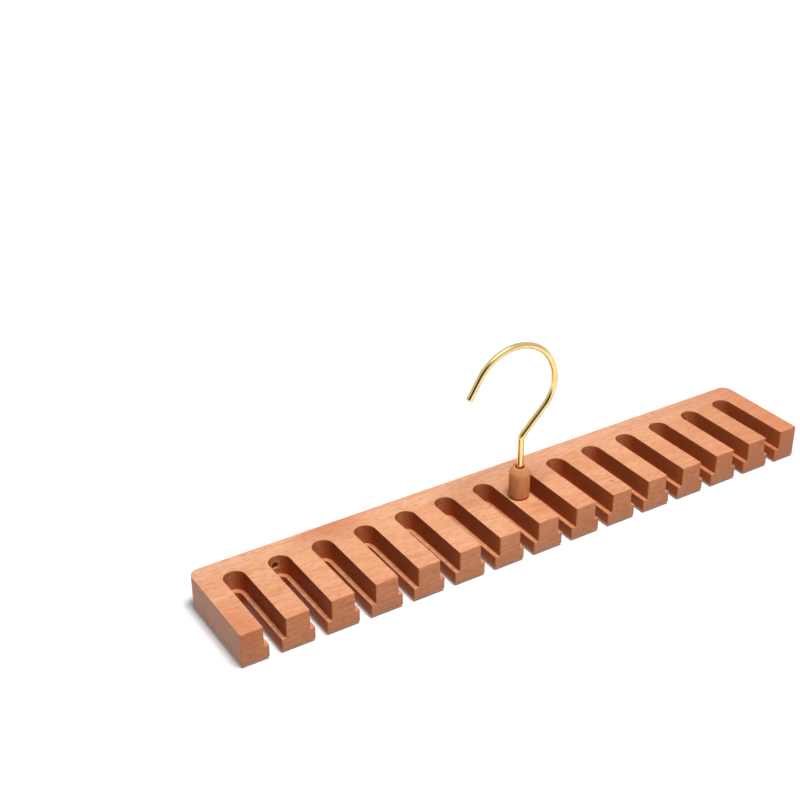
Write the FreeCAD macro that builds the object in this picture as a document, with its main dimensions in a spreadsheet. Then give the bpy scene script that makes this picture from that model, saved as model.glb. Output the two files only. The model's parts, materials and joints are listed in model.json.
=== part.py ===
"""Tie hanger: a slotted wooden bar that hangs from a brass-plated swivel hook.

Frame: millimetres, +Z up, origin under the middle of the bar on the surface that it rests on.
X runs along the bar, the slots open towards -Y, and the hook swivels about a vertical axis.
"""

import FreeCAD, Part
import math
import os
import re

import Sketcher

# Driving sizes: alias, number, what it measures
DRIVING_SIZES = (
    ("slot_count_each_side", 7, "slots to the left and to the right of the hook"),
    ("slot_width", 12.5, "wide upper part of a slot"),
    ("tooth_width", 13.8, "wood between the wide parts of two slots"),
    ("end_tooth_width", 12.8, "wood between the last slot and the bar's end"),
    ("slot_depth", 50.8, "slot mouth to the far end of the wide part"),
    ("back_rail_width", 11.8, "wood between the far end of a slot and the bar's back edge"),
    ("neck_width", 6.8, "narrow lower part of a slot"),
    ("ledge_height", 8.0, "resting face to the ledge between wide part and neck"),
    ("bar_thickness", 20.0, "resting face to top face"),
    ("back_corner_radius", 6.0, "round of the two back corners, seen from above"),
    ("edge_radius", 0.9, "sanded round of the bar's top, bottom and mouth edges"),
    ("screw_hole_diameter", 4.0, "hole from a slot's far end through the back edge"),
    ("screw_slot_number", 2, "slot with a screw hole, counted from either end"),
    ("hook_setback", 2.6, "hook axis, from the bar's centre line towards the mouths"),
    ("wire_diameter", 3.6, "hook wire"),
    ("kink_height", 38.9, "bar's top face to the corner where shank and slant meet"),
    ("kink_radius", 4.5, "bend between shank and slant, on the wire's centre line"),
    ("slant_angle", 45.2, "slant above the horizontal, in degrees"),
    ("slant_length", 21.3, "slant, from its corner with the shank to the side bend"),
    ("side_radius", 21.6, "bend at the hook's side, on the centre line"),
    ("crown_radius", 27.2, "bend over the hook's top, on the centre line"),
    ("crown_angle", 148.6, "turn of the bend over the top, in degrees"),
    ("tip_length", 12.9, "straight tip after the bend over the top"),
    ("tip_round", 0.6, "round of the wire's cut tip"),
    ("bearing_clearance", 0.08, "gap all round the shank in the bar's bore"),
    ("ferrule_height", 19.6, "turned ferrule, foot to flat top"),
    ("ferrule_diameter", 12.2, "ferrule below its bevel"),
    ("ferrule_top_diameter", 8.4, "ferrule's flat top"),
    ("ferrule_bevel_height", 3.0, "bevel below the flat top"),
    ("ferrule_clearance", 0.8, "gap all round the shank in the ferrule"),
    ("tenon_wall", 1.4, "wood round the hole in the tenon"),
    ("tenon_length", 5.0, "tenon below the ferrule's foot"),
    ("tenon_shoulder", 1.7, "width of the ferrule's foot round the tenon"),
    ("foot_round", 0.8, "round of the ferrule's foot"),
    ("glue_gap", 0.05, "gap for glue round and under the tenon"),
    ("washer_diameter", 9.0, "thrust washer, outside"),
    ("washer_clearance", 0.35, "gap all round the shank in the washer"),
    ("washer_thickness", 0.8, "thrust washer"),
    ("pocket_clearance", 1.0, "gap all round the washer in the nut's pocket"),
    ("swivel_play", 0.2, "end play between washer and nut"),
    ("nut_flats", 7.0, "nut across its flats"),
    ("nut_height", 3.2, "nut"),
    ("nut_face_inset", 0.2, "end face of the nut, from its flats inwards"),
    ("nut_bevel_angle", 30.0, "bevel of the nut's corners, in degrees"),
    ("wire_stub", 0.8, "wire's lower end below the nut"),
    ("stub_round", 0.7, "round of the wire's lower end"),
    ("stub_cover", 2.0, "resting face to the wire's lower end"),
    ("cut_overrun", 2.0, "how far a cut runs past the face that it opens"),
)

# Lengths and places that follow from the driving sizes
SLOT_PITCH = "(slot_width + tooth_width)"
FIRST_SLOT = f"(slot_count_each_side - 0.5) * {SLOT_PITCH}"
BAR_LENGTH = f"(2 * {FIRST_SLOT} + slot_width + 2 * end_tooth_width)"
BAR_WIDTH = "(slot_depth + back_rail_width)"
SLOT_END_CENTRE = "slot_depth - slot_width / 2"
SCREW_SLOT = f"(slot_count_each_side + 0.5 - screw_slot_number) * {SLOT_PITCH}"
SCREW_HEIGHT = "(bar_thickness + ledge_height) / 2"
HOOK_Y = "-hook_setback"
NUT_BOTTOM = "(stub_cover + wire_stub)"
WASHER_BOTTOM = f"({NUT_BOTTOM} + nut_height + swivel_play)"
POCKET_DEPTH = f"({WASHER_BOTTOM} + washer_thickness)"
FERRULE_BORE = "(wire_diameter + 2 * ferrule_clearance)"
TENON_DIAMETER = f"({FERRULE_BORE} + 2 * tenon_wall)"
FOOT_DIAMETER = f"({TENON_DIAMETER} + 2 * tenon_shoulder)"
KINK_TANGENT = "kink_radius * tan((90 - slant_angle) / 2 * 1 deg)"
NUT_CORNER_DIAMETER = "(nut_flats * 2 / sqrt(3))"

SHEET = "Sizes"
V_AXIS, H_AXIS = range(-2, 0)
START, END, CENTRE = range(1, 4)
ORIGIN_POINT = (H_AXIS, START)
UP = FreeCAD.Vector(0, 0, 1)
TOUCH = 1e-6

doc = FreeCAD.newDocument("TieHanger")


def make_sheet():
    """One row for each driving size: its name, its number and its meaning."""
    new_sheet = doc.addObject("Spreadsheet::Sheet", SHEET)
    for row, (alias, number, meaning) in enumerate(DRIVING_SIZES, start=1):
        new_sheet.set(f"A{row}", alias)
        new_sheet.set(f"B{row}", str(number))
        new_sheet.set(f"C{row}", meaning)
        new_sheet.setAlias(f"B{row}", alias)
    doc.recompute()
    return new_sheet


sheet = make_sheet()


def value(expression):
    """The number that an expression in the sheet's sizes comes to."""
    result = sheet.evalExpression(expression)
    return float(getattr(result, "Value", result))


def bound(expression):
    """The same expression with each size, a name with an underscore, read through the sheet."""
    return re.sub(r"\b([a-z]+_[a-z_]+)\b", rf"{SHEET}.\1", expression)


def make_body(label, y="0", z="0"):
    """A body whose label names its file, placed by expressions."""
    body = doc.addObject("PartDesign::Body", label)
    body.Label = label
    body.setExpression("Placement.Base.y", bound(y))
    body.setExpression("Placement.Base.z", bound(z))
    return body


def origin_feature(body, role):
    """The body's own plane or axis with that role, such as XY_Plane."""
    return next(item for item in body.Origin.OriginFeatures if item.Role == role)


def make_sketch(body, name, plane="XY_Plane", x="0", y="0", z="0"):
    """A sketch on one of the body's planes, moved from it by expressions."""
    sketch = body.newObject("Sketcher::SketchObject", name)
    sketch.AttachmentSupport = [(origin_feature(body, plane), "")]
    sketch.MapMode = "FlatFace"
    for axis, expression in zip("xyz", (x, y, z)):
        sketch.setExpression(f"AttachmentOffset.Base.{axis}", bound(expression))
    return sketch


def constrain(sketch, *constraints):
    """Constraints without a number, each given as its kind and what it acts on."""
    for constraint in constraints:
        sketch.addConstraint(Sketcher.Constraint(*constraint))


def dimension(sketch, name, kind, *where, to):
    """A named dimension of the sketch, bound to an expression."""
    angle = kind == "Angle"
    amount = math.radians(value(to)) if angle else value(to)
    number = sketch.addConstraint(Sketcher.Constraint(kind, *where, amount))
    sketch.renameConstraint(number, name)
    sketch.setExpression(f"Constraints.{name}", f"({bound(to)}) * 1 deg" if angle else bound(to))


def place_point(sketch, name, line, x, y):
    """Holds a line's start at two expressions, which keep their signs; zero holds it on an axis."""
    for kind, axis, expression in (("DistanceX", V_AXIS, x), ("DistanceY", H_AXIS, y)):
        if value(expression) == 0:
            constrain(sketch, ("PointOnObject", line, START, axis))
        elif value(expression) > 0:
            dimension(sketch, f"{name}_{kind}", kind, *ORIGIN_POINT, line, START, to=expression)
        else:
            dimension(sketch, f"{name}_{kind}", kind, line, START, *ORIGIN_POINT, to=f"-({expression})")


def add_polygon(sketch, corners):
    """A closed run of lines through the corners, each joined to the next."""
    lines = []
    for start, end in zip(corners, corners[1:] + corners[:1]):
        lines.append(sketch.addGeometry(Part.LineSegment(start, end), False))
    for line, following in zip(lines, lines[1:] + lines[:1]):
        constrain(sketch, ("Coincident", line, END, following, START))
    return lines


def add_outline(sketch, name, corners):
    """A closed polygon, each corner held at two expressions."""
    lines = add_polygon(sketch, [FreeCAD.Vector(value(x), value(y), 0) for x, y in corners])
    for number, (line, (x, y)) in enumerate(zip(lines, corners)):
        place_point(sketch, f"{name}_{number}", line, x, y)


def add_circle(sketch, name, diameter, construction=False):
    """A circle about the sketch's origin."""
    circle = Part.Circle(FreeCAD.Vector(), UP, value(diameter) / 2)
    number = sketch.addGeometry(circle, construction)
    constrain(sketch, ("Coincident", number, CENTRE, *ORIGIN_POINT))
    dimension(sketch, name, "Diameter", number, to=diameter)
    return number


def pad(body, name, sketch, length):
    """Material from the sketch along its normal."""
    feature = body.newObject("PartDesign::Pad", name)
    feature.Profile = sketch
    feature.setExpression("Length", bound(length))
    doc.recompute()


def check_cut(feature):
    """Stops when a cut has taken nothing from the solid before it."""
    doc.recompute()
    if feature.Shape.Volume >= feature.BaseFeature.Shape.Volume:
        raise RuntimeError(f"{feature.Name} cuts nothing")


def pocket(body, name, sketch, depth, along_normal=False):
    """A cut from the sketch, against its normal or along it."""
    feature = body.newObject("PartDesign::Pocket", name)
    feature.Profile = sketch
    feature.Reversed = along_normal
    feature.setExpression("Length", bound(depth))
    check_cut(feature)
    return feature


def repeat(body, kind, name, originals, **settings):
    """A pattern or a mirror of cuts, which becomes the body's last feature."""
    feature = body.newObject(f"PartDesign::{kind}", name)
    feature.Originals = originals
    for setting, choice in settings.items():
        setattr(feature, setting, choice)
    body.Tip = feature
    return feature


def fillet(body, name, edges, radius):
    """Rounds those edges of the body's last feature."""
    base = body.Tip
    chosen = [
        f"Edge{number}"
        for number, edge in enumerate(base.Shape.Edges, start=1)
        if any(edge.isSame(other) for other in edges)
    ]
    feature = body.newObject("PartDesign::Fillet", name)
    feature.Base = (base, chosen)
    feature.setExpression("Radius", bound(radius))
    doc.recompute()


def upright_edges(shape, y):
    """The upright straight edges that stand on the plane at that y."""
    found = []
    for edge in shape.Edges:
        ends = [vertex.Point for vertex in edge.Vertexes]
        if len(ends) != 2 or any(abs(end.y - y) > TOUCH for end in ends):
            continue
        if math.dist(ends[0][:2], ends[1][:2]) < TOUCH:
            found.append(edge)
    return found


def flat_face_edges(shape, z):
    """The outer edges of the flat faces whose middle lies at that height."""
    edges = []
    for face in shape.Faces:
        if isinstance(face.Surface, Part.Plane) and abs(face.CenterOfMass.z - z) < TOUCH:
            edges += face.OuterWire.Edges
    return edges


def slot_sketch(body, name, width, level):
    """One slot's outline, past its mouth: two sides, a front and a half-round far end.

    The sketch's origin lies in the middle of the first slot's mouth.
    """
    sketch = make_sketch(body, name, x=f"-{FIRST_SLOT}", y=f"-{BAR_WIDTH} / 2", z=level)
    half = value(width) / 2
    far = value(SLOT_END_CENTRE)
    near = -value("cut_overrun")
    corners = [FreeCAD.Vector(*xy, 0) for xy in ((-half, far), (-half, near), (half, near), (half, far))]
    left, front, right = (
        sketch.addGeometry(Part.LineSegment(start, end), False)
        for start, end in zip(corners, corners[1:])
    )
    circle = Part.Circle(FreeCAD.Vector(0, far, 0), UP, half)
    arc = sketch.addGeometry(Part.ArcOfCircle(circle, 0, math.pi), False)
    constrain(
        sketch,
        ("Coincident", left, END, front, START),
        ("Coincident", front, END, right, START),
        ("Tangent", right, END, arc, START),
        ("Tangent", arc, END, left, START),
        ("Horizontal", front),
        ("Vertical", left),
        ("PointOnObject", arc, CENTRE, V_AXIS),
    )
    dimension(sketch, "width", "Distance", front, to=width)
    dimension(sketch, "far_end", "DistanceY", *ORIGIN_POINT, arc, CENTRE, to=SLOT_END_CENTRE)
    dimension(sketch, "overrun", "DistanceY", front, START, *ORIGIN_POINT, to="cut_overrun")
    return sketch


def cut_slots(bar):
    """The row of slots: each a wide recess with a neck through its floor."""
    wide = slot_sketch(bar, "RecessOutline", "slot_width", "bar_thickness")
    recess = pocket(bar, "Recess", wide, "bar_thickness - ledge_height")
    narrow = slot_sketch(bar, "NeckOutline", "neck_width", "0")
    neck = pocket(bar, "Neck", narrow, "ledge_height + cut_overrun", along_normal=True)
    along_bar = (origin_feature(bar, "X_Axis"), [""])
    row = repeat(bar, "LinearPattern", "SlotRow", [recess, neck], Direction=along_bar)
    row.setExpression("Occurrences", bound("2 * slot_count_each_side"))
    row.setExpression("Length", bound(f"2 * {FIRST_SLOT}"))
    doc.recompute()


def make_bar():
    """The bar: a plank with a row of stepped slots, the hook's bore and two screw holes."""
    bar = make_body("slotted_bar")
    outline = make_sketch(bar, "PlankOutline")
    right, left = f"{BAR_LENGTH} / 2", f"-{BAR_LENGTH} / 2"
    back, front = f"{BAR_WIDTH} / 2", f"-{BAR_WIDTH} / 2"
    add_outline(outline, "corner", [(left, front), (right, front), (right, back), (left, back)])
    pad(bar, "Plank", outline, "bar_thickness")
    fillet(bar, "BackCorners", upright_edges(bar.Tip.Shape, value(back)), "back_corner_radius")
    cut_slots(bar)

    shape = bar.Tip.Shape
    sanded = flat_face_edges(shape, value("bar_thickness")) + flat_face_edges(shape, 0)
    sanded += upright_edges(shape, value(front))
    fillet(bar, "SandedEdges", sanded, "edge_radius")

    socket_diameter, socket_depth = f"{TENON_DIAMETER} + 2 * glue_gap", "tenon_length + glue_gap"
    for name, diameter, level, depth, along_normal in (
        ("HookBore", "wire_diameter + 2 * bearing_clearance", "0", "bar_thickness", True),
        ("NutPocket", "washer_diameter + 2 * pocket_clearance", "0", POCKET_DEPTH, True),
        ("TenonSocket", socket_diameter, "bar_thickness", socket_depth, False),
    ):
        circle = make_sketch(bar, f"{name}Circle", y=HOOK_Y, z=level)
        add_circle(circle, "diameter", diameter)
        pocket(bar, name, circle, depth, along_normal)

    # The upright plane faces the mouths, so the back edge lies at a negative distance from it
    back_face = f"-{BAR_WIDTH} / 2"
    circle = make_sketch(bar, "ScrewHoleCircle", "XZ_Plane", x=SCREW_SLOT, y=SCREW_HEIGHT, z=back_face)
    add_circle(circle, "diameter", "screw_hole_diameter")
    hole = pocket(bar, "ScrewHole", circle, "back_rail_width + slot_width / 2", along_normal=True)
    middle = (origin_feature(bar, "YZ_Plane"), [""])
    repeat(bar, "Mirrored", "ScrewHolePair", [hole], MirrorPlane=middle)
    doc.recompute()
    return bar


def make_ferrule():
    """The turned wooden ferrule: a bevelled barrel with a tenon, and a hole right through."""
    ferrule = make_body("hook_ferrule", y=HOOK_Y, z="bar_thickness")
    section = make_sketch(ferrule, "FerruleSection", "XZ_Plane")
    corners = [
        (f"{FERRULE_BORE} / 2", "-tenon_length"),
        (f"{TENON_DIAMETER} / 2", "-tenon_length"),
        (f"{TENON_DIAMETER} / 2", "0"),
        (f"{FOOT_DIAMETER} / 2", "0"),
        ("ferrule_diameter / 2", "ferrule_height - ferrule_bevel_height"),
        ("ferrule_top_diameter / 2", "ferrule_height"),
        (f"{FERRULE_BORE} / 2", "ferrule_height"),
    ]
    add_outline(section, "corner", corners)
    turned = ferrule.newObject("PartDesign::Revolution", "TurnedFerrule")
    turned.Profile = section
    turned.ReferenceAxis = (section, ["V_Axis"])
    doc.recompute()
    fillet(ferrule, "FootRound", flat_face_edges(turned.Shape, 0), "foot_round")
    return ferrule


def hook_path(hook):
    """The wire's centre line: shank, kink, slant, side bend, crown and tip, each tangent to the last.

    The pieces are first walked from the wire's lower end, then held by dimensions.
    """
    path = make_sketch(hook, "HookPath", "XZ_Plane")
    shank_length = f"bar_thickness + kink_height - stub_cover - {KINK_TANGENT}"
    slant_rest = f"slant_length - {KINK_TANGENT}"
    side_turn = "90 - slant_angle"
    walk = (
        (shank_length, None),
        ("kink_radius", f"-({side_turn})"),
        (slant_rest, None),
        ("side_radius", side_turn),
        ("crown_radius", "crown_angle"),
        ("tip_length", None),
    )
    place = FreeCAD.Vector(0, value("stub_cover"), 0)
    heading = math.pi / 2
    pieces = []
    for length, turn in walk:
        if turn is None:
            finish = place + FreeCAD.Vector(math.cos(heading), math.sin(heading), 0) * value(length)
            curve = Part.LineSegment(place, finish)
        else:
            swing = math.radians(value(turn))
            radius = math.copysign(value(length), swing)
            centre = place + FreeCAD.Vector(-math.sin(heading), math.cos(heading), 0) * radius
            middle, finish = (
                centre + FreeCAD.Vector(math.sin(angle), -math.cos(angle), 0) * radius
                for angle in (heading + swing / 2, heading + swing)
            )
            curve = Part.Arc(place, middle, finish)
            heading += swing
        pieces.append(path.addGeometry(curve, False))
        place = finish
    hold_path(path, pieces, shank_length, slant_rest)
    return path, len(pieces)


def hold_path(path, pieces, shank_length, slant_rest):
    """Ties the hook's pieces end to end and binds their sizes to the sheet."""
    shank, kink, slant, side, crown, tip = pieces
    constrain(
        path,
        ("PointOnObject", shank, START, V_AXIS),
        ("Vertical", shank),
        ("Tangent", shank, END, kink, END),
        ("Tangent", kink, START, slant, START),
        ("Tangent", slant, END, side, START),
        ("Tangent", side, END, crown, START),
        ("Tangent", crown, END, tip, START),
        ("Horizontal", crown, CENTRE, crown, START),
    )
    dimension(path, "lower_end", "DistanceY", *ORIGIN_POINT, shank, START, to="stub_cover")
    dimension(path, "shank", "Distance", shank, to=shank_length)
    dimension(path, "kink", "Radius", kink, to="kink_radius")
    dimension(path, "slant", "Distance", slant, to=slant_rest)
    dimension(path, "slant_rise", "Angle", slant, to="slant_angle")
    dimension(path, "side", "Radius", side, to="side_radius")
    dimension(path, "crown", "Radius", crown, to="crown_radius")
    dimension(path, "tip_heading", "Angle", tip, to="crown_angle + 90")
    dimension(path, "tip", "Distance", tip, to="tip_length")


def make_hook():
    """The hook: one round wire bent in a plane along the bar, its lower end inside the nut."""
    hook = make_body("swivel_hook", y=HOOK_Y)
    path, piece_count = hook_path(hook)
    circle = make_sketch(hook, "WireSection", z="stub_cover")
    add_circle(circle, "diameter", "wire_diameter")
    wire = hook.newObject("PartDesign::AdditivePipe", "BentWire")
    wire.Profile = circle
    wire.Spine = (path, [f"Edge{number}" for number in range(1, piece_count + 1)])
    doc.recompute()
    lower_end = flat_face_edges(hook.Tip.Shape, value("stub_cover"))
    fillet(hook, "StubRound", lower_end, "stub_round")
    tip_face = max(
        (face for face in hook.Tip.Shape.Faces if isinstance(face.Surface, Part.Plane)),
        key=lambda face: face.CenterOfMass.z,
    )
    fillet(hook, "TipRound", tip_face.Edges, "tip_round")
    return hook


def make_washer():
    """The thrust washer against the roof of the nut's pocket."""
    washer = make_body("thrust_washer", y=HOOK_Y, z=WASHER_BOTTOM)
    ring = make_sketch(washer, "WasherRing")
    add_circle(ring, "outside", "washer_diameter")
    add_circle(ring, "hole", "wire_diameter + 2 * washer_clearance")
    pad(washer, "WasherPlate", ring, "washer_thickness")
    return washer


def make_nut():
    """The hexagon nut that keeps the hook in the bar, its corners bevelled at both ends."""
    nut = make_body("hook_nut", y=HOOK_Y, z=NUT_BOTTOM)
    hexagon = make_sketch(nut, "NutHexagon")
    corner = value(NUT_CORNER_DIAMETER) / 2
    angles = [math.tau * step / 6 for step in range(6)]
    lines = add_polygon(hexagon, [FreeCAD.Vector(math.cos(a), math.sin(a), 0) * corner for a in angles])
    rim = add_circle(hexagon, "corners", NUT_CORNER_DIAMETER, construction=True)
    constrain(hexagon, ("PointOnObject", lines[0], START, H_AXIS))
    constrain(hexagon, *[("PointOnObject", line, START, rim) for line in lines])
    constrain(hexagon, *[("Equal", lines[0], line) for line in lines[1:]])
    add_circle(hexagon, "bore", "wire_diameter")
    pad(nut, "NutBlock", hexagon, "nut_height")

    face, clear = "nut_flats / 2 - nut_face_inset", f"{NUT_CORNER_DIAMETER} / 2 + cut_overrun"
    drop = f"({clear} - ({face})) * tan(nut_bevel_angle * 1 deg)"
    top, below_top = "nut_height", f"nut_height - {drop}"
    bevels = make_sketch(nut, "BevelSection", "XZ_Plane")
    add_outline(bevels, "lower", [(face, "0"), (clear, "0"), (clear, drop)])
    add_outline(bevels, "upper", [(face, top), (clear, below_top), (clear, top)])
    groove = nut.newObject("PartDesign::Groove", "CornerBevels")
    groove.Profile = bevels
    groove.ReferenceAxis = (bevels, ["V_Axis"])
    check_cut(groove)
    return nut


def check_and_export(pieces):
    """Stops on a failed object or a bad shape, then writes one file for each piece."""
    failed = [item.Name for item in doc.Objects if {"Invalid", "Error"} & set(item.State)]
    if failed:
        raise RuntimeError(f"failed objects: {failed}")
    for piece in pieces:
        if piece.Shape.isNull() or not piece.Shape.isValid() or len(piece.Shape.Solids) != 1:
            raise RuntimeError(f"{piece.Label} is not one valid solid")
    os.makedirs("parts", exist_ok=True)
    for piece in pieces:
        piece.Shape.exportStep(f"parts/{piece.Label}.step")


check_and_export([make_bar(), make_ferrule(), make_hook(), make_washer(), make_nut()])
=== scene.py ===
"""Tie hanger: the looks of its slotted beech bar, turned ferrule, brass-plated hook and hidden fixings.

Everything is in metres in the part's own frame: X along the bar, slot mouths towards -Y, Z up.
"""

import json
from collections import namedtuple

import bpy
import numpy as np
from mathutils import Matrix, Vector
from mathutils.geometry import delaunay_2d_cdt


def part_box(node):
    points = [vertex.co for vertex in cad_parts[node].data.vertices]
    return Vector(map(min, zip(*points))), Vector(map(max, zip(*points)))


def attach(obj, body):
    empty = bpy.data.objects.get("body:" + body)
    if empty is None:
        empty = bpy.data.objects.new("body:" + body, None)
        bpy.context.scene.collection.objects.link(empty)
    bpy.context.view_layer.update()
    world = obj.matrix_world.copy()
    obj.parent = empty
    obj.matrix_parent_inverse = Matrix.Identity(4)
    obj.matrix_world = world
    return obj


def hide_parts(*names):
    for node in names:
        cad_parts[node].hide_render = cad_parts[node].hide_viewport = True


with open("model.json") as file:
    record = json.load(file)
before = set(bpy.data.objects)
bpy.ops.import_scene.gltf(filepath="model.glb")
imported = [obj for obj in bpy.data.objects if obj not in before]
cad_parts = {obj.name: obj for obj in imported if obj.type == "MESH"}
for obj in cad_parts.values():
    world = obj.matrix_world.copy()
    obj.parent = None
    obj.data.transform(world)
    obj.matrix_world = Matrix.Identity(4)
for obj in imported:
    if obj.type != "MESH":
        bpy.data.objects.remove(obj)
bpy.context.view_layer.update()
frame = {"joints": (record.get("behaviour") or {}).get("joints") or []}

MM = 0.001
TURN = 2 * np.pi

# The bar: its box from the frame, and the sizes of its slots and rounded edges
LEFT, FRONT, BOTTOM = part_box("slotted_bar")[0]
RIGHT, BACK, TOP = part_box("slotted_bar")[1]
SLOT_COUNT, SLOT_PITCH, SLOT_DEPTH = 14, 26.3 * MM, 50.8 * MM
RECESS_HALF, NECK_HALF = 6.25 * MM, 3.4 * MM
LEDGE = BOTTOM + 8.0 * MM
SLOT_X = (np.arange(SLOT_COUNT) - (SLOT_COUNT - 1) / 2) * SLOT_PITCH
SLOT_END_Y = FRONT + SLOT_DEPTH - RECESS_HALF
TOP_ROUND, BOTTOM_ROUND, LEDGE_ROUND = 0.2 * MM, 1.2 * MM, 0.4 * MM
MOUTH_ROUND, BACK_ROUND = 0.6 * MM, 6.0 * MM
FLAT_MARGIN, FINE = 0.15 * MM, 0.1 * MM
CORNER_STEPS, BACK_STEPS, WALL_STEPS, FACE_STEPS, ROUND_ROWS = 6, 12, 3, 4, 6
LEDGE_STEPS = (0.3, 0.9)
ROLL_LEAST, ROLL_GAIN = 0.4, 0.55

# The screw holes, in the second slot from each end
SCREW_SLOTS = (1, SLOT_COUNT - 2)
SCREW_RADIUS, SCREW_Z = 2.0 * MM, (LEDGE + TOP) / 2
END_STEPS, PATCH_STEPS, PATCH_ROWS, PATCH_RISE = 24, 4, 7, 3.1 * MM

# The hook's axis and what sits on it
HOOK_X, HOOK_Y, _ = frame["joints"][0]["pos_m"]
HOOK_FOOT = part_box("swivel_hook")[0].z
WIRE_RADIUS, BORE_RADIUS = 1.8 * MM, 1.88 * MM
SOCKET_RADIUS, SOCKET_DEPTH = 4.05 * MM, 5.05 * MM
POCKET_RADIUS, POCKET_EASE = 5.5 * MM, 0.3 * MM
FERRULE_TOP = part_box("hook_ferrule")[1].z
WASHER_FOOT, WASHER_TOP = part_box("thrust_washer")[0].z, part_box("thrust_washer")[1].z
NUT_FOOT, NUT_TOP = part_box("hook_nut")[0].z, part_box("hook_nut")[1].z


# Meshes from whole arrays


def make_piece(name, points, faces, material, body, node, sharp=40):
    """An object from points and faces, which rides on a body and stands for a node of the frame."""
    mesh = bpy.data.meshes.new(name)
    mesh.from_pydata(points.tolist(), [], faces)
    mesh.polygons.foreach_set("use_smooth", np.ones(len(mesh.polygons), bool))
    mesh.set_sharp_from_angle(angle=np.radians(sharp))
    mesh.materials.append(material)
    piece = bpy.data.objects.new(name, mesh)
    bpy.context.scene.collection.objects.link(piece)
    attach(piece, body)
    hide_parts(node)
    return mesh


def carry(mesh, name, vectors):
    """Three numbers on every point of a mesh, for its finish to read."""
    mesh.attributes.new(name, "FLOAT_VECTOR", "POINT").data.foreach_set("vector", vectors.ravel())


def ring_quads(rows, columns):
    """Corner numbers of the quads between rows of points, each of which closes on itself."""
    row = np.arange(rows - 1)[:, None] * columns
    column = np.arange(columns)[None, :]
    following = (column + 1) % columns
    return np.stack([row + column, row + following, row + columns + following, row + columns + column], -1)


def lathe(profile, steps):
    """Radius and height pairs turned once about the hook's axis, one row for each pair."""
    angle = TURN * np.arange(steps) / steps
    radius, height = np.asarray(profile).T[:, :, None]
    x = HOOK_X + radius * np.cos(angle)
    y = HOOK_Y + radius * np.sin(angle)
    return np.stack([x, y, height + 0 * x], -1).reshape(-1, 3)


def turned_solid(profile, steps):
    """The points and faces of a closed profile turned about the hook's axis."""
    points = lathe(profile, steps)
    return points, (ring_quads(len(profile) + 1, steps) % len(points)).reshape(-1, 4).tolist()


def rounded(corners, steps):
    """A closed profile from (radius, height, round) corners, each round an arc tangent to both its sides.

    The arc's centre lies on the line that halves the corner, and equal shares of its turn are taken.
    """
    points = np.array([(radius, height) for radius, height, _ in corners])
    before, after = np.roll(points, 1, 0) - points, np.roll(points, -1, 0) - points
    before /= np.linalg.norm(before, axis=1)[:, None]
    after /= np.linalg.norm(after, axis=1)[:, None]
    share = np.linspace(0, 1, steps + 1)[:, None]
    path = []
    for point, back, ahead, (_, _, size) in zip(points, before, after, corners):
        if size == 0:
            path.append(point[None])
            continue
        half = np.arccos(back @ ahead) / 2
        centre = point + (back + ahead) / np.linalg.norm(back + ahead) * size / np.sin(half)
        first = point + back * size / np.tan(half) - centre
        last = point + ahead * size / np.tan(half) - centre
        turn = np.pi - 2 * half
        arm = np.sin((1 - share) * turn) * first + np.sin(share * turn) * last
        path.append(centre + arm / np.sin(turn))
    return np.concatenate(path)


# The slotted bar


Outline = namedtuple("Outline", "at inward lean radius normal share")


def stretch(points, normal, share=0.0):
    """A straight or hollow stretch of an outline, whose points move straight inwards.

    share says how much a point belongs to a slot's walls, from 0 on the bar's outer faces to 1.
    """
    normal = np.broadcast_to(np.asarray(normal, float), points.shape)
    none = np.zeros(len(points))
    return Outline(points, -normal, 0 * points, none, normal, none + share)


def line(start, finish, count, normal, share=0.0):
    """A straight stretch with points at equal shares of the way, without its two ends."""
    way = np.linspace(0, 1, count + 2)[1:-1, None]
    return stretch(np.array(start) + way * (np.array(finish) - np.array(start)), normal, share)


def corner(point, start, radius, steps, share=0.0):
    """An outer corner that turns a quarter to the left from the start angle in degrees.

    A point is the sharp corner plus the radius times its lean, which is the way it faces less the
    normals of both sides, so the corner keeps its shape when its sides move inwards past its radius.
    """
    angle = np.radians(np.linspace(start, start + 90, steps + 1))
    normal = np.stack([np.cos(angle), np.sin(angle)], 1)
    sides = normal[0] + normal[-1]
    ones = np.ones((steps + 1, 1))
    return Outline(ones * np.array(point), -ones * sides, normal - sides, ones[:, 0] * radius, normal,
                   share * np.abs(normal[:, 0]))


def joined(runs):
    """Several stretches of an outline, one after the other."""
    return Outline(*(np.concatenate(part) for part in zip(*runs)))


def slot_outline(half):
    """One slot seen from above about x = 0: mouth corner, wall, half-round end, wall, mouth corner.

    A point on the front face next to each corner keeps the corner's shading off the flat face.
    """
    angle = np.radians(np.linspace(180, 0, END_STEPS + 1))
    away = np.stack([np.cos(angle), np.sin(angle)], 1)
    beside = half + BOTTOM_ROUND + 2 * FLAT_MARGIN
    return joined([
        stretch(np.array([[-beside, FRONT]]), (0, -1)),
        corner((-half, FRONT), -90, MOUTH_ROUND, CORNER_STEPS, 1.0),
        line((-half, FRONT + MOUTH_ROUND), (-half, SLOT_END_Y), WALL_STEPS, (1, 0), 1.0),
        stretch(np.array([0, SLOT_END_Y]) + half * away, -away, 1.0),
        line((half, SLOT_END_Y), (half, FRONT + MOUTH_ROUND), WALL_STEPS, (-1, 0), 1.0),
        corner((half, FRONT), 180, MOUTH_ROUND, CORNER_STEPS, 1.0),
        stretch(np.array([[beside, FRONT]]), (0, -1)),
    ])


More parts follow.
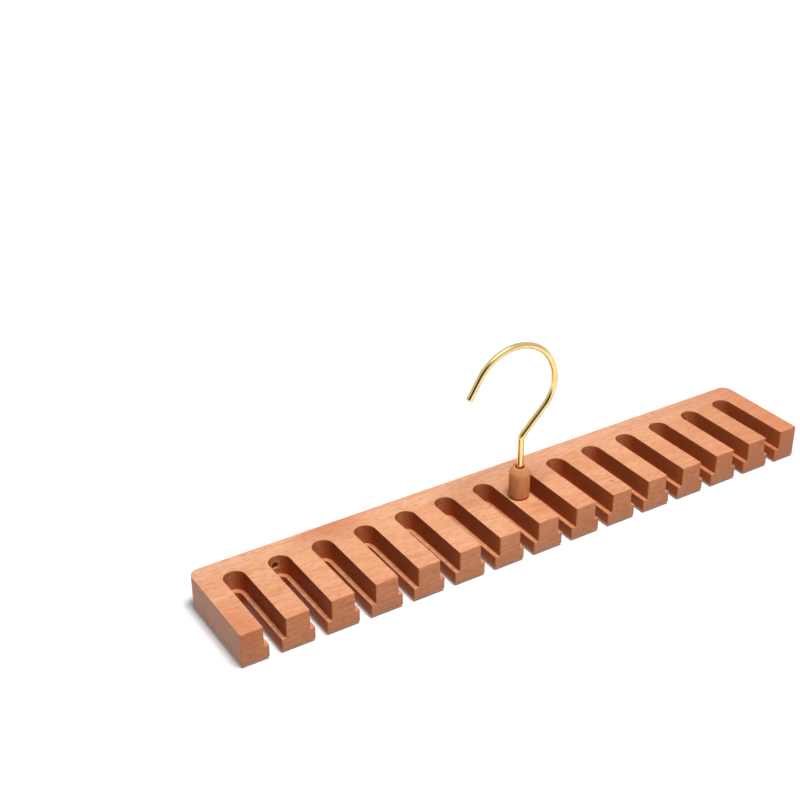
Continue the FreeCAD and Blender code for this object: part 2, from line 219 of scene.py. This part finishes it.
def bar_outline(half):
    """The bar seen from above, to the left all the way round from its left front corner.

    The row of slots is one slot's outline repeated at every slot's place.
    """
    slot = slot_outline(half)
    place = np.stack([SLOT_X, 0 * SLOT_X], 1)[:, None]
    repeated = [np.tile(part, (SLOT_COUNT,) + (1,) * (part.ndim - 1)) for part in slot[1:]]
    row = Outline((slot.at + place).reshape(-1, 2), *repeated)
    turn = np.radians(np.arange(PATCH_STEPS, -PATCH_STEPS - 1, -1) * 180 / END_STEPS)
    back_x = (SLOT_X[list(SCREW_SLOTS[::-1])][:, None] + RECESS_HALF * np.sin(turn)).ravel()
    return joined([
        corner((LEFT, FRONT), 180, MOUTH_ROUND, CORNER_STEPS),
        row,
        corner((RIGHT, FRONT), -90, MOUTH_ROUND, CORNER_STEPS),
        line((RIGHT, FRONT + MOUTH_ROUND), (RIGHT, BACK - BACK_ROUND), FACE_STEPS, (1, 0)),
        corner((RIGHT, BACK), 0, BACK_ROUND, BACK_STEPS),
        stretch(np.stack([back_x, 0 * back_x + BACK], 1), (0, 1)),
        corner((LEFT, BACK), 90, BACK_ROUND, BACK_STEPS),
        line((LEFT, BACK - BACK_ROUND), (LEFT, FRONT + MOUTH_ROUND), FACE_STEPS, (-1, 0)),
    ])


def bar_rings():
    """The bar's side as rings from the bottom up: inset, ease, height, step and uprightness.

    Quarter circles round the bottom, the ledge's rim and the top. The step goes from 0 at the neck's
    outline to 1 at the recess's, and two rings lie between them on the ledge.
    """
    quarter = np.radians(np.linspace(0, 90, ROUND_ROWS))
    sine, cosine, none = np.sin(quarter), np.cos(quarter), np.zeros(ROUND_ROWS)
    screw_rows = SCREW_Z + np.linspace(-PATCH_RISE, PATCH_RISE, PATCH_ROWS)
    wall = np.concatenate([[LEDGE, (2 * LEDGE + screw_rows[0]) / 3], screw_rows])
    return np.concatenate([
        [[BOTTOM_ROUND + FLAT_MARGIN, 0, BOTTOM, 0, 0]],
        np.stack([BOTTOM_ROUND * (1 - sine), none, BOTTOM + BOTTOM_ROUND * (1 - cosine), none, sine], 1),
        [[0, 0, (BOTTOM + LEDGE) / 2, 0, 1]],
        np.stack([none, LEDGE_ROUND * (1 - cosine), LEDGE - LEDGE_ROUND * (1 - sine), none, cosine], 1),
        [[0, LEDGE_ROUND, LEDGE, LEDGE_STEPS[0], 0], [0, 0, LEDGE, LEDGE_STEPS[1], 0]],
        np.stack([0 * wall, 0 * wall, wall, 0 * wall + 1, 0 * wall + 1], 1),
        np.stack([TOP_ROUND * (1 - cosine), none, TOP - TOP_ROUND * (1 - sine), none + 1, cosine], 1),
        [[TOP_ROUND + FLAT_MARGIN, 0, TOP, 1, 0]],
    ])


def bar_side():
    """The bar's whole side on a grid of rings by outline points, and its shares of end grain and painted
    shade.

    A point is the outline at its ring's step, moved inwards by the inset, and in a slot by the ease.
    The ledge rolls down to the front face along a quarter circle of its rim's radius, and stops short
    so that its rings stay apart. The shares of end grain and of faces along Y are the point's uprightness
    times the way it faces, and faces along Y carry painted shade. A slot is routed, and its surfaces
    carry painted shade too.
    """
    neck, recess, rings = bar_outline(NECK_HALF), bar_outline(RECESS_HALF), bar_rings()
    inset, ease, height, step, upright = rings.T[:, :, None]
    at = neck.at + step[..., None] * (recess.at - neck.at) + inset[..., None] * neck.inward
    at = at + np.maximum(neck.radius - inset, FINE)[..., None] * neck.lean
    at = at - (ease * neck.share)[..., None] * neck.normal
    foot = LEDGE - LEDGE_ROUND
    depth = np.where(neck.share > 0, np.clip((at[..., 1] - FRONT) / LEDGE_ROUND, 0, 1), 0)
    roll = np.maximum(np.sqrt(1 - (1 - depth) ** 2), ROLL_LEAST + ROLL_GAIN * step)
    height = np.where((height > foot) & (height <= LEDGE), foot + (height - foot) * roll, height)
    upright = np.where((step < 1) & (neck.share == 0) & (height > foot), 1, upright)
    low, high = BOTTOM + BOTTOM_ROUND - 0.5 * FINE, TOP - TOP_ROUND + 0.5 * FINE
    routed = neck.share * ((height > low) & (height < high))
    end_share, side_shade_share = upright * np.abs(neck.normal[:, 0]), upright * np.abs(neck.normal[:, 1])
    shares = np.stack([end_share, side_shade_share, routed], -1)
    return np.concatenate([at, height[..., None]], -1), shares


def fill_flat(points, outer, hole):
    """Triangles facing up between an outer ring and a round hole, both given as point numbers."""
    numbers = np.concatenate([outer, hole])
    flat = points[numbers, :2]
    rings = (np.arange(len(outer)), len(outer) + np.arange(len(hole)))
    edges = np.concatenate([np.stack([ring, np.roll(ring, -1)], 1) for ring in rings]).tolist()
    corners, inside_only, least_gap = [Vector(point) for point in flat], 1, 1e-9
    triangles = np.array(delaunay_2d_cdt(corners, edges, [], inside_only, least_gap)[2])
    centre = flat[rings[1]].mean(0)
    radius = np.linalg.norm(flat[-1] - centre)
    kept = np.linalg.norm(flat[triangles].mean(1) - centre, axis=1) > radius
    return numbers[triangles[kept]]


def drill(points, grid, near, far, first):
    """A screw hole from a slot's far end to the back edge: its two rings, and the faces round and in it.

    Each block of quads that it goes through gives way to a collar from the block's border to a circle.
    """
    x = points[grid[0, near[PATCH_STEPS]], 0]
    borders = []
    for columns in (near, far):
        block = grid[:, columns]
        border = np.concatenate([block[0], block[-1], block[1:-1, 0], block[1:-1, -1]])
        angle = np.arctan2(points[border, 2] - SCREW_Z, points[border, 0] - x)
        order = np.argsort(angle)
        borders.append(border[order])
    angle = np.sort(angle)
    ring_x, ring_z = x + SCREW_RADIUS * np.cos(angle), SCREW_Z + SCREW_RADIUS * np.sin(angle)
    slot_y = SLOT_END_Y + np.sqrt(RECESS_HALF ** 2 - (ring_x - x) ** 2)
    back_y = np.full_like(slot_y, BACK)
    rings = np.concatenate([np.stack([ring_x, y, ring_z], 1) for y in (slot_y, back_y)])
    near_ring, far_ring = np.split(first + np.arange(len(rings)), 2)
    strips = [(borders[0], near_ring), (near_ring, far_ring), (far_ring, borders[1])]
    faces = [np.stack([a, np.roll(a, -1), np.roll(b, -1), b], 1) for a, b in strips]
    return rings, np.concatenate(faces)


def make_bar(material):
    """The bar: its side, top and bottom, the stepped bore for the hook and two drilled screw holes."""
    side, grain = bar_side()
    rows, columns = side.shape[:2]
    points, grid = side.reshape(-1, 3), np.arange(rows * columns).reshape(rows, columns)
    quads, solid = ring_quads(rows, columns), np.ones((rows - 1, columns), bool)
    outline, heights = bar_outline(RECESS_HALF).at, bar_rings()[:, 2]
    screw_rows = np.flatnonzero(np.abs(heights - SCREW_Z) < PATCH_RISE + 0.5 * FINE)
    width = np.arange(-PATCH_STEPS, PATCH_STEPS + 1)
    walls = []
    for x in SLOT_X[list(SCREW_SLOTS)]:
        ends = np.array([(x, SLOT_END_Y + RECESS_HALF), (x, BACK)])
        near, far = np.linalg.norm(outline - ends[:, None], axis=-1).argmin(1)[:, None] + width
        for patch in (near, far):
            solid[np.ix_(screw_rows[:-1], patch[:-1])] = False
        rings, collars = drill(points, grid[screw_rows], near, far, len(points))
        points = np.concatenate([points, rings])
        walls.append(collars)

    steps = 64
    bore = lathe([
        (SOCKET_RADIUS, TOP),
        (SOCKET_RADIUS, TOP - SOCKET_DEPTH),
        (BORE_RADIUS, TOP - SOCKET_DEPTH),
        (BORE_RADIUS, WASHER_TOP),
        (POCKET_RADIUS, WASHER_TOP),
        (POCKET_RADIUS, BOTTOM + POCKET_EASE),
        (POCKET_RADIUS + POCKET_EASE, BOTTOM),
    ], steps)
    first = len(points)
    points = np.concatenate([points, bore])
    bore_quads = (first + ring_quads(len(bore) // steps, steps)).reshape(-1, 4)
    walls = np.concatenate([quads[solid], *walls, bore_quads])
    flats = np.concatenate([
        fill_flat(points, grid[-1], first + np.arange(steps)),
        fill_flat(points, grid[0], len(points) - steps + np.arange(steps))[:, ::-1],
    ])
    used = np.unique(np.concatenate([walls.ravel(), flats.ravel()]))
    number = np.zeros(len(points), int)
    number[used] = np.arange(len(used))
    faces = number[walls].tolist() + number[flats].tolist()
    mesh = make_piece("bar", points[used], faces, material, "bar", "slotted_bar")
    shares = np.zeros(points.shape)
    shares[:rows * columns] = grain.reshape(-1, 3)
    carry(mesh, "grain", shares[used])


# The turned ferrule


def make_ferrule(material):
    """The ferrule: a rounded section of radius and height, turned about the hook's axis.

    Its foot draws in to a narrow relief, which leaves a dark joint line on the bar. End grain shows
    where the section faces up or down, by the sideways share of the section's direction.
    """
    bore, tenon, relief, foot, belly, rim = 2.6 * MM, 4.0 * MM, 4.9 * MM, 5.2 * MM, 6.1 * MM, 4.2 * MM
    tenon_foot, shoulder = TOP - 5.0 * MM, FERRULE_TOP - 3.0 * MM
    foot_height, belly_height, belly_draw = TOP + 0.6 * MM, TOP + 1.6 * MM, 0.1 * MM
    eased, foot_round, turned_round, shoulder_round = 0.3 * MM, 0.1 * MM, 1.0 * MM, 6.0 * MM
    round_steps, steps = 6, 96
    section = rounded([
        (bore, tenon_foot, 0),
        (tenon, tenon_foot, eased),
        (tenon, TOP, 0),
        (relief, TOP, 0),
        (relief, foot_height, 0),
        (foot, foot_height, foot_round),
        (belly - belly_draw, belly_height, turned_round),
        (belly, shoulder, shoulder_round),
        (rim, FERRULE_TOP, turned_round),
        (bore, FERRULE_TOP, eased),
    ], round_steps)
    points, faces = turned_solid(section, steps)
    mesh = make_piece("ferrule", points, faces, material, "bar", "hook_ferrule")
    along = np.roll(section, -1, 0) - np.roll(section, 1, 0)
    grain = np.zeros((len(section), steps, 3))
    grain[..., 0] = (np.abs(along[:, 0]) / np.linalg.norm(along, axis=1))[:, None]
    carry(mesh, "grain", grain)


# The hook


def hook_line():
    """The wire's centre line in the hook's plane and its heading: shank, kink, slant, bends and tip.

    A stretch is a length or a radius, a turn and a number of steps. Each bend is an arc tangent to the
    stretch before it, and headings are angles from +X.
    """
    kink_height, kink_radius, slant_length, tip_length = 38.9 * MM, 4.5 * MM, 21.3 * MM, 12.9 * MM
    side_radius, crown_radius, crown_turn = 21.6 * MM, 27.2 * MM, np.radians(148.6)
    lean = np.pi / 2 - np.radians(45.2)
    cut = kink_radius * np.tan(lean / 2)
    stretches = [
        (TOP + kink_height - HOOK_FOOT - cut, 0, 24),
        (kink_radius, -lean, 14),
        (slant_length - cut, 0, 8),
        (side_radius, lean, 24),
        (crown_radius, crown_turn, 90),
        (tip_length, 0, 8),
    ]
    place, heading = np.array([0, HOOK_FOOT]), np.pi / 2
    points, headings = [place[None]], [np.array([heading])]
    for size, turn, steps in stretches:
        share = np.linspace(0, 1, steps + 1)[1:]
        angle = heading + share * turn
        if turn:
            radius = size * np.sign(turn)
            centre = place + radius * np.array([-np.sin(heading), np.cos(heading)])
            run = centre + radius * np.stack([np.sin(angle), -np.cos(angle)], 1)
        else:
            run = place + size * share[:, None] * np.array([np.cos(heading), np.sin(heading)])
        points.append(run)
        headings.append(angle)
        place, heading = run[-1], angle[-1]
    return np.concatenate(points), np.concatenate(headings)


def travelled(points):
    """The distance along a line of points at each of them."""
    return np.concatenate([[0], np.cumsum(np.linalg.norm(np.diff(points, axis=0), axis=1))])


def make_hook(material):
    """The hook: a circle carried along the wire's line, drawn in by a quarter circle at each end."""
    stub_round, tip_round, steps = 0.7 * MM, 0.6 * MM, 40
    cap_rows, cap_start = 6, 15
    points, heading = hook_line()
    way = travelled(points)
    quarter = np.radians(np.linspace(cap_start, 90, cap_rows))
    body = (way > stub_round) & (way < way[-1] - tip_round)
    at = np.concatenate([stub_round * (1 - np.sin(quarter[::-1])), way[body],
                         way[-1] - tip_round * (1 - np.sin(quarter))])
    at[[cap_rows - 1, -cap_rows]] = stub_round, way[-1] - tip_round
    radius = np.full(len(at), WIRE_RADIUS)
    radius[:cap_rows] -= stub_round * (1 - np.sin(np.arccos(1 - at[:cap_rows] / stub_round)))
    to_tip = way[-1] - at[-cap_rows:]
    radius[-cap_rows:] -= tip_round * (1 - np.sin(np.arccos(1 - to_tip / tip_round)))
    centre = np.stack([np.interp(at, way, points[:, 0]), np.interp(at, way, points[:, 1])], 1)
    heading = np.interp(at, way, heading)[:, None]
    around = -TURN * np.arange(steps) / steps
    out = radius[:, None] * np.cos(around)
    x = HOOK_X + centre[:, :1] - out * np.sin(heading)
    y = HOOK_Y + radius[:, None] * np.sin(around)
    z = centre[:, 1:] + out * np.cos(heading)
    tube = np.stack([x, y, z], -1).reshape(-1, 3)
    faces = ring_quads(len(at), steps).reshape(-1, 4).tolist()
    faces += [np.arange(steps)[::-1].tolist(), (len(tube) - steps + np.arange(steps)).tolist()]
    mesh = make_piece("hook", tube, faces, material, "hook", "swivel_hook")
    wire = np.stack(np.broadcast_arrays(np.cos(around), np.sin(around), at[:, None] / WIRE_RADIUS), -1)
    carry(mesh, "wire", wire)


# The hidden fixings


def make_washer(material):
    """The washer: a rounded rectangle of radius and height, turned about the hook's axis."""
    inner, outer, edge, edge_steps, steps = 2.15 * MM, 4.5 * MM, 0.15 * MM, 3, 64
    section = rounded([
        (inner, WASHER_FOOT, edge),
        (outer, WASHER_FOOT, edge),
        (outer, WASHER_TOP, edge),
        (inner, WASHER_TOP, edge),
    ], edge_steps)
    points, faces = turned_solid(section, steps)
    make_piece("washer", points, faces, material, "bar", "thrust_washer")


def make_nut(material):
    """The nut: at each angle the hexagon's own radius, cut back at both ends by a shallow cone."""
    half_flats, face, chamfer, steps = 3.5 * MM, 3.3 * MM, np.radians(30), 96
    angle = TURN * np.arange(steps) / steps
    hexagon = half_flats / np.cos((angle % (TURN / 6)) - TURN / 12)
    drop = (hexagon - face) * np.tan(chamfer)
    same = np.ones(steps)
    radius = np.stack([WIRE_RADIUS * same, face * same, hexagon, hexagon, face * same, WIRE_RADIUS * same])
    height = np.stack([
        NUT_FOOT * same, NUT_FOOT * same, NUT_FOOT + drop, NUT_TOP - drop, NUT_TOP * same, NUT_TOP * same,
    ])
    x = HOOK_X + radius * np.cos(angle)
    y = HOOK_Y + radius * np.sin(angle)
    points = np.stack([x, y, height], -1).reshape(-1, 3)
    faces = (ring_quads(len(radius) + 1, steps) % len(points)).reshape(-1, 4).tolist()
    make_piece("nut", points, faces, material, "hook", "hook_nut", sharp=20)


# Finishes


def new_material(name):
    """A material with its node tree and its shader."""
    material = bpy.data.materials.new(name)
    material.use_nodes = True
    return material, material.node_tree, material.node_tree.nodes["Principled BSDF"]


def add(tree, kind, settings=None, **sockets):
    """A node with its settings, whose sockets take a value or another node's socket.

    A socket goes by its name, with _ for a space, or by its number after a leading _.
    """
    node = tree.nodes.new(kind)
    for setting, choice in (settings or {}).items():
        setattr(node, setting, choice)
    for name, given in sockets.items():
        socket = node.inputs[int(name[1:])] if name[0] == "_" else node.inputs[name.replace("_", " ")]
        if isinstance(given, bpy.types.NodeSocket):
            tree.links.new(given, socket)
        else:
            socket.default_value = given
    return node


def mapped(tree, vector, scale=(1, 1, 1), rotation=(0, 0, 0), location=(0, 0, 0)):
    """Coordinates stretched, turned and then moved."""
    node = add(tree, "ShaderNodeMapping", Vector=vector, Scale=scale, Rotation=rotation, Location=location)
    return node.outputs[0]


def noise(tree, vector, detail=2.0, roughness=0.5):
    """Soft random variation about one half, one unit of the coordinates across."""
    node = add(tree, "ShaderNodeTexNoise", Vector=vector, Scale=1.0, Detail=detail, Roughness=roughness)
    return node.outputs["Fac"]


def spread(tree, value, low, high, to_low=0.0, to_high=1.0):
    """A value between two limits, moved smoothly to two other limits and held there."""
    node = add(tree, "ShaderNodeMapRange", {"interpolation_type": "SMOOTHSTEP"},
               Value=value, _1=low, _2=high, _3=to_low, _4=to_high)
    return node.outputs[0]


def mix(tree, share, first, second):
    """Two colours mixed by a share."""
    return add(tree, "ShaderNodeMix", {"data_type": "RGBA"}, _0=share, _6=first, _7=second).outputs[2]


def combine(tree, operation, first, second):
    """Two numbers joined by an operation."""
    return add(tree, "ShaderNodeMath", {"operation": operation}, _0=first, _1=second).outputs[0]


def beech(name, pale, warm, brown, side, end, grain_turn, patches=()):
    """Oiled beech: soft tones, growth rings about a far axis, streaks, short ray flecks, darker end grain.

    grain_turn turns the piece's coordinates until its fibres run along the pattern's X. Scales are per
    metre. Each patch is a place, its reach on each axis, a colour and a strength.
    """
    tone_scale, sway_scale, streak_scale = (9, 45, 45), (60, 120, 120), (70, 650, 650)
    fleck_scale, pore_scale = (230, 950, 950), (900, 1500, 1500)
    sway_reach, ring_turn, ring_axis = (0.0, 0.0016, 0.0016), (0.0, 0.035, 0.05), (0.0, -0.012, 0.055)
    ring_share, streak_share, fleck_share = 0.16, 0.25, 0.36
    material, tree, shader = new_material(name)
    place = add(tree, "ShaderNodeTexCoord").outputs["Object"]
    fibre = mapped(tree, place, rotation=grain_turn)
    tone = noise(tree, mapped(tree, fibre, tone_scale), 3.0)
    sway = add(tree, "ShaderNodeTexNoise", Vector=mapped(tree, fibre, sway_scale), Scale=1.0, Detail=1.0)
    swayed = add(tree, "ShaderNodeVectorMath", {"operation": "MULTIPLY_ADD"}, _0=sway.outputs["Color"],
                 _1=sway_reach, _2=fibre).outputs[0]
    ring_settings = {"wave_type": "RINGS", "rings_direction": "X", "wave_profile": "SAW"}
    rings = add(tree, "ShaderNodeTexWave", ring_settings,
                Vector=mapped(tree, swayed, rotation=ring_turn, location=ring_axis),
                Scale=105.0, Distortion=1.6, Detail=2.0, Detail_Scale=60.0).outputs["Fac"]
    streak = noise(tree, mapped(tree, swayed, streak_scale), 3.0, 0.6)
    fleck = spread(tree, noise(tree, mapped(tree, swayed, fleck_scale), 2.0), 0.48, 0.66)
    colour = mix(tree, spread(tree, tone, 0.35, 0.65), pale, warm)
    for centre, reach, shade, strength in patches:
        scale = tuple(1 / size for size in reach)
        location = tuple(-at / size for at, size in zip(centre, reach))
        spot = add(tree, "ShaderNodeTexGradient", {"gradient_type": "SPHERICAL"},
                   Vector=mapped(tree, place, scale, location=location)).outputs["Fac"]
        colour = mix(tree, combine(tree, "MULTIPLY", spread(tree, spot, 0.0, 0.8), strength), colour, shade)
    marks = (
        (spread(tree, rings, 0.2, 1.0), ring_share),
        (spread(tree, streak, 0.35, 0.75), streak_share),
        (fleck, fleck_share),
    )
    for mark, share in marks:
        colour = mix(tree, combine(tree, "MULTIPLY", mark, share), colour, brown)
    grain = add(tree, "ShaderNodeAttribute", {"attribute_name": "grain"}).outputs["Vector"]
    end_share, side_shade_share, routed = add(tree, "ShaderNodeSeparateXYZ", Vector=grain).outputs
    pores = noise(tree, mapped(tree, place, pore_scale), 2.0)
    end_share = combine(tree, "MULTIPLY", end_share, spread(tree, pores, 0.3, 0.7, 0.8, 1.0))
    # Painted shade: faces along Y take the side tint, and a slot's surfaces the slot tint
    for share, tint in ((side_shade_share, side), (routed, SLOT_SHADE_TINT)):
        colour = add(tree, "ShaderNodeMix", {"data_type": "RGBA", "blend_type": "MULTIPLY"},
                     _0=share, _6=colour, _7=tint).outputs[2]
    # A slot's end grain is darker and redder still: partly its own colour, partly painted shade
    colour = mix(tree, end_share, colour, mix(tree, routed, end, SLOT_END_GRAIN_AND_SHADE))
    tree.links.new(colour, shader.inputs["Base Color"])
    tree.links.new(spread(tree, routed, 0.0, 1.0, 0.3, 0.06), shader.inputs["Specular IOR Level"])
    tree.links.new(spread(tree, streak, 0.2, 0.8, 0.38, 0.56), shader.inputs["Roughness"])
    relief = combine(tree, "SUBTRACT", streak, combine(tree, "MULTIPLY", fleck, 0.6))
    bump = add(tree, "ShaderNodeBump", Strength=0.3, Distance=0.0002, Height=relief)
    tree.links.new(bump.outputs[0], shader.inputs["Normal"])
    return material


def polished_brass():
    """Bright brass plating: drawn lines along the wire, and a faint cloudiness in its colour and gloss."""
    deep, bright = (0.86, 0.65, 0.26, 1), (0.94, 0.74, 0.35, 1)
    material, tree, shader = new_material("polished_brass")
    wire = add(tree, "ShaderNodeAttribute", {"attribute_name": "wire"}).outputs["Vector"]
    drawn = noise(tree, mapped(tree, wire, (7, 7, 0.12)), 3.0)
    cloud = noise(tree, mapped(tree, wire, (1, 1, 0.25)), 2.0)
    colour = mix(tree, spread(tree, cloud, 0.3, 0.7), deep, bright)
    tree.links.new(colour, shader.inputs["Base Color"])
    tree.links.new(spread(tree, drawn, 0.25, 0.75, 0.14, 0.22), shader.inputs["Roughness"])
    bump = add(tree, "ShaderNodeBump", Strength=0.08, Distance=0.0001, Height=drawn)
    tree.links.new(bump.outputs[0], shader.inputs["Normal"])
    shader.inputs["Metallic"].default_value = 1.0
    return material


def bright_zinc():
    """Zinc-plated steel: mottled grey with a satin gloss."""
    dull, bright = (0.50, 0.51, 0.53, 1), (0.70, 0.70, 0.71, 1)
    material, tree, shader = new_material("bright_zinc")
    place = add(tree, "ShaderNodeTexCoord").outputs["Object"]
    mottle = noise(tree, mapped(tree, place, (900, 900, 900)), 3.0)
    colour = mix(tree, mottle, dull, bright)
    tree.links.new(colour, shader.inputs["Base Color"])
    tree.links.new(spread(tree, mottle, 0.2, 0.8, 0.25, 0.42), shader.inputs["Roughness"])
    shader.inputs["Metallic"].default_value = 1.0
    return material


# Floor, light and camera


def make_floor():
    """A wide white floor, which the camera and shiny pieces see brighter than it lights the object.

    A small gap under the bar shows as the dark line where the two meet.
    """
    size, gap, shine = 8.0, 0.8 * MM, 0.4
    lit, shown_white, near_scale = (0.66, 0.66, 0.66, 1), (0.9, 0.9, 0.9, 1), (0.7, 0.7, 0.7)
    corners = np.array([(-1, -1), (1, -1), (1, 1), (-1, 1)]) * size
    points = np.column_stack([corners, np.full(4, BOTTOM - gap)])
    mesh = bpy.data.meshes.new("floor")
    mesh.from_pydata(points.tolist(), [], [(0, 1, 2, 3)])
    floor = bpy.data.objects.new("floor", mesh)
    bpy.context.scene.collection.objects.link(floor)
    material, tree, shader = new_material("white_floor")
    shader.inputs["Roughness"].default_value = 0.9
    shader.inputs["Specular IOR Level"].default_value = 0.0
    shader.inputs["Emission Color"].default_value = (1, 1, 1, 1)
    place = add(tree, "ShaderNodeTexCoord").outputs["Object"]
    near = add(tree, "ShaderNodeTexGradient", {"gradient_type": "SPHERICAL"},
               Vector=mapped(tree, place, near_scale)).outputs["Fac"]
    ray = add(tree, "ShaderNodeLightPath").outputs
    shiny = combine(tree, "MAXIMUM", ray["Is Glossy Ray"], ray["Is Transmission Ray"])
    shown = mix(tree, ray["Is Camera Ray"], lit, shown_white)
    tree.links.new(shown, shader.inputs["Base Color"])
    lift = add(tree, "ShaderNodeMix", _0=ray["Is Camera Ray"], _2=combine(tree, "MULTIPLY", shiny, shine),
               _3=spread(tree, near, 0.2, 0.92, 1.0, 0.12)).outputs[0]
    tree.links.new(lift, shader.inputs["Emission Strength"])
    mesh.materials.append(material)


def softbox(name, place, aim, size, power):
    """A square lamp that faces a point, which shiny pieces don't mirror as a small hard square."""
    lamp = bpy.data.lights.new(name, "AREA")
    lamp.size = size
    lamp.energy = power
    lamp_object = bpy.data.objects.new(name, lamp)
    lamp_object.location = place
    lamp_object.visible_glossy = False
    lamp_object.rotation_euler = (Vector(aim) - Vector(place)).to_track_quat("-Z", "Y").to_euler()
    bpy.context.scene.collection.objects.link(lamp_object)


def make_light():
    """One softbox overhead in a dim room.

    Shiny pieces see the room as pale walls with a dark brown front and a soft bright patch overhead.
    """
    front, front_limits, brown_front = (-0.67, -0.66, 0.34), (0.76, 0.93), (0.03, 0.02, 0.005, 1)
    above, above_limits, bright_patch = (-0.05, -0.21, 0.976), (0.85, 0.98), (2.3, 2.3, 2.3, 1)
    pale_walls, dim, white = (0.70, 0.68, 0.63, 1), (0.12, 0.12, 0.12, 1), (1, 1, 1, 1)
    world = bpy.data.worlds.new("studio")
    bpy.context.scene.world = world
    world.use_nodes = True
    tree = world.node_tree
    background = tree.nodes["Background"]
    background.inputs["Strength"].default_value = 1.0
    ray = add(tree, "ShaderNodeLightPath").outputs
    direction = add(tree, "ShaderNodeTexCoord").outputs["Generated"]
    walls = pale_walls
    for way, limits, colour in ((front, front_limits, brown_front), (above, above_limits, bright_patch)):
        facing = add(tree, "ShaderNodeVectorMath", {"operation": "DOT_PRODUCT"}, _0=direction, _1=way)
        walls = mix(tree, spread(tree, facing.outputs["Value"], *limits), walls, colour)
    shiny = combine(tree, "MAXIMUM", ray["Is Glossy Ray"], ray["Is Transmission Ray"])
    room = mix(tree, shiny, dim, walls)
    tree.links.new(mix(tree, ray["Is Camera Ray"], room, white), background.inputs["Color"])
    softbox("overhead", place=(-0.03, -0.26, 1.3), aim=(0.0, 0.0, 0.0), size=0.4, power=18.5)


def make_camera():
    """The camera at the photograph's place, turn and focal length."""
    place, focal_pixels, image_pixels = Vector((-0.40760, -0.53394, 0.45379)), 1394.74, 800
    azimuth, elevation, roll = np.radians([-31.74, 29.11, -0.39])
    ahead, aside = np.cos(azimuth) * np.cos(elevation), np.sin(azimuth) * np.cos(elevation)
    back = np.array([aside, -ahead, np.sin(elevation)])
    level = np.cross((0, 0, 1), back)
    level /= np.linalg.norm(level)
    upright = np.cross(back, level)
    right = np.cos(roll) * level + np.sin(roll) * upright
    up = np.cos(roll) * upright - np.sin(roll) * level
    camera = bpy.data.cameras.new("camera")
    camera.lens = camera.sensor_width * focal_pixels / image_pixels
    camera_object = bpy.data.objects.new("camera", camera)
    turn = Matrix(np.stack([right, up, back], 1).tolist())
    camera_object.matrix_world = Matrix.LocRotScale(place, turn.to_quaternion(), None)
    bpy.context.scene.collection.objects.link(camera_object)
    bpy.context.scene.camera = camera_object


# Colours of the wood, and the bar's patches: its paler rail, reddish places, a small knot, and painted
# shade at the right end and at the teeth's foot
# Reddish colour of the wood's own patches, also used for the painted shade at the right end
REDDISH_TONE_AND_SHADE = (0.66, 0.20, 0.085, 1)
BROWN = (0.50, 0.16, 0.065, 1)
PALE = (0.86, 0.49, 0.32, 1)
# Painted shade for the foot of the teeth
PAINTED_FOOT_SHADE = (0.50, 0.255, 0.142, 1)
# Slot tints: partly the routed end grain's own colour, partly painted shade of the slots
SLOT_SHADE_TINT = (0.88, 0.84, 0.80, 1)
SLOT_END_GRAIN_AND_SHADE = (0.44, 0.105, 0.025, 1)
BAR_PATCHES = [
    ((0, BACK, TOP), (2000 * MM, 18 * MM, 30 * MM), PALE, 0.6),
    ((-105 * MM, 30 * MM, TOP), (30 * MM, 26 * MM, 30 * MM), REDDISH_TONE_AND_SHADE, 0.55),
    ((-187 * MM, -25 * MM, TOP), (14 * MM, 22 * MM, 30 * MM), REDDISH_TONE_AND_SHADE, 0.5),
    ((3 * MM, -18 * MM, TOP), (12 * MM, 14 * MM, 20 * MM), REDDISH_TONE_AND_SHADE, 0.4),
    # Painted shade: the right end is darkened as if less lit, in the reddish colour
    ((240 * MM, -10 * MM, TOP), (170 * MM, 200 * MM, 200 * MM), REDDISH_TONE_AND_SHADE, 0.5),
    ((54.4 * MM, -19.1 * MM, TOP), (1.8 * MM, 1.6 * MM, 3 * MM), BROWN, 0.8),
    # Painted shade: the lower front of the teeth is darker towards the floor
    ((0, FRONT, BOTTOM), (1000 * MM, 8 * MM, 15 * MM), PAINTED_FOOT_SHADE, 0.4),
]

# The bar's side tint is painted shade on its front and back faces
bar_beech = beech(
    "bar_beech", pale=(0.86, 0.435, 0.242, 1), warm=(0.81, 0.365, 0.192, 1), brown=BROWN,
    # The bar's end colour is greyer than its end grain alone: partly its own colour, partly painted sheen
    side=(0.97, 0.78, 0.64, 1), end=(0.60, 0.26, 0.14, 1), grain_turn=(0, 0, 0), patches=BAR_PATCHES)
ferrule_beech = beech(
    "ferrule_beech", pale=(0.92, 0.42, 0.185, 1), warm=(0.86, 0.34, 0.13, 1), brown=(0.52, 0.18, 0.065, 1),
    side=(1, 1, 1, 1), end=(0.56, 0.24, 0.11, 1), grain_turn=(0, np.pi / 2, 0))
zinc = bright_zinc()
make_bar(bar_beech)
make_ferrule(ferrule_beech)
make_hook(polished_brass())
make_washer(zinc)
make_nut(zinc)
make_floor()
make_light()
make_camera()
bpy.context.scene.view_settings.view_transform = "Standard"
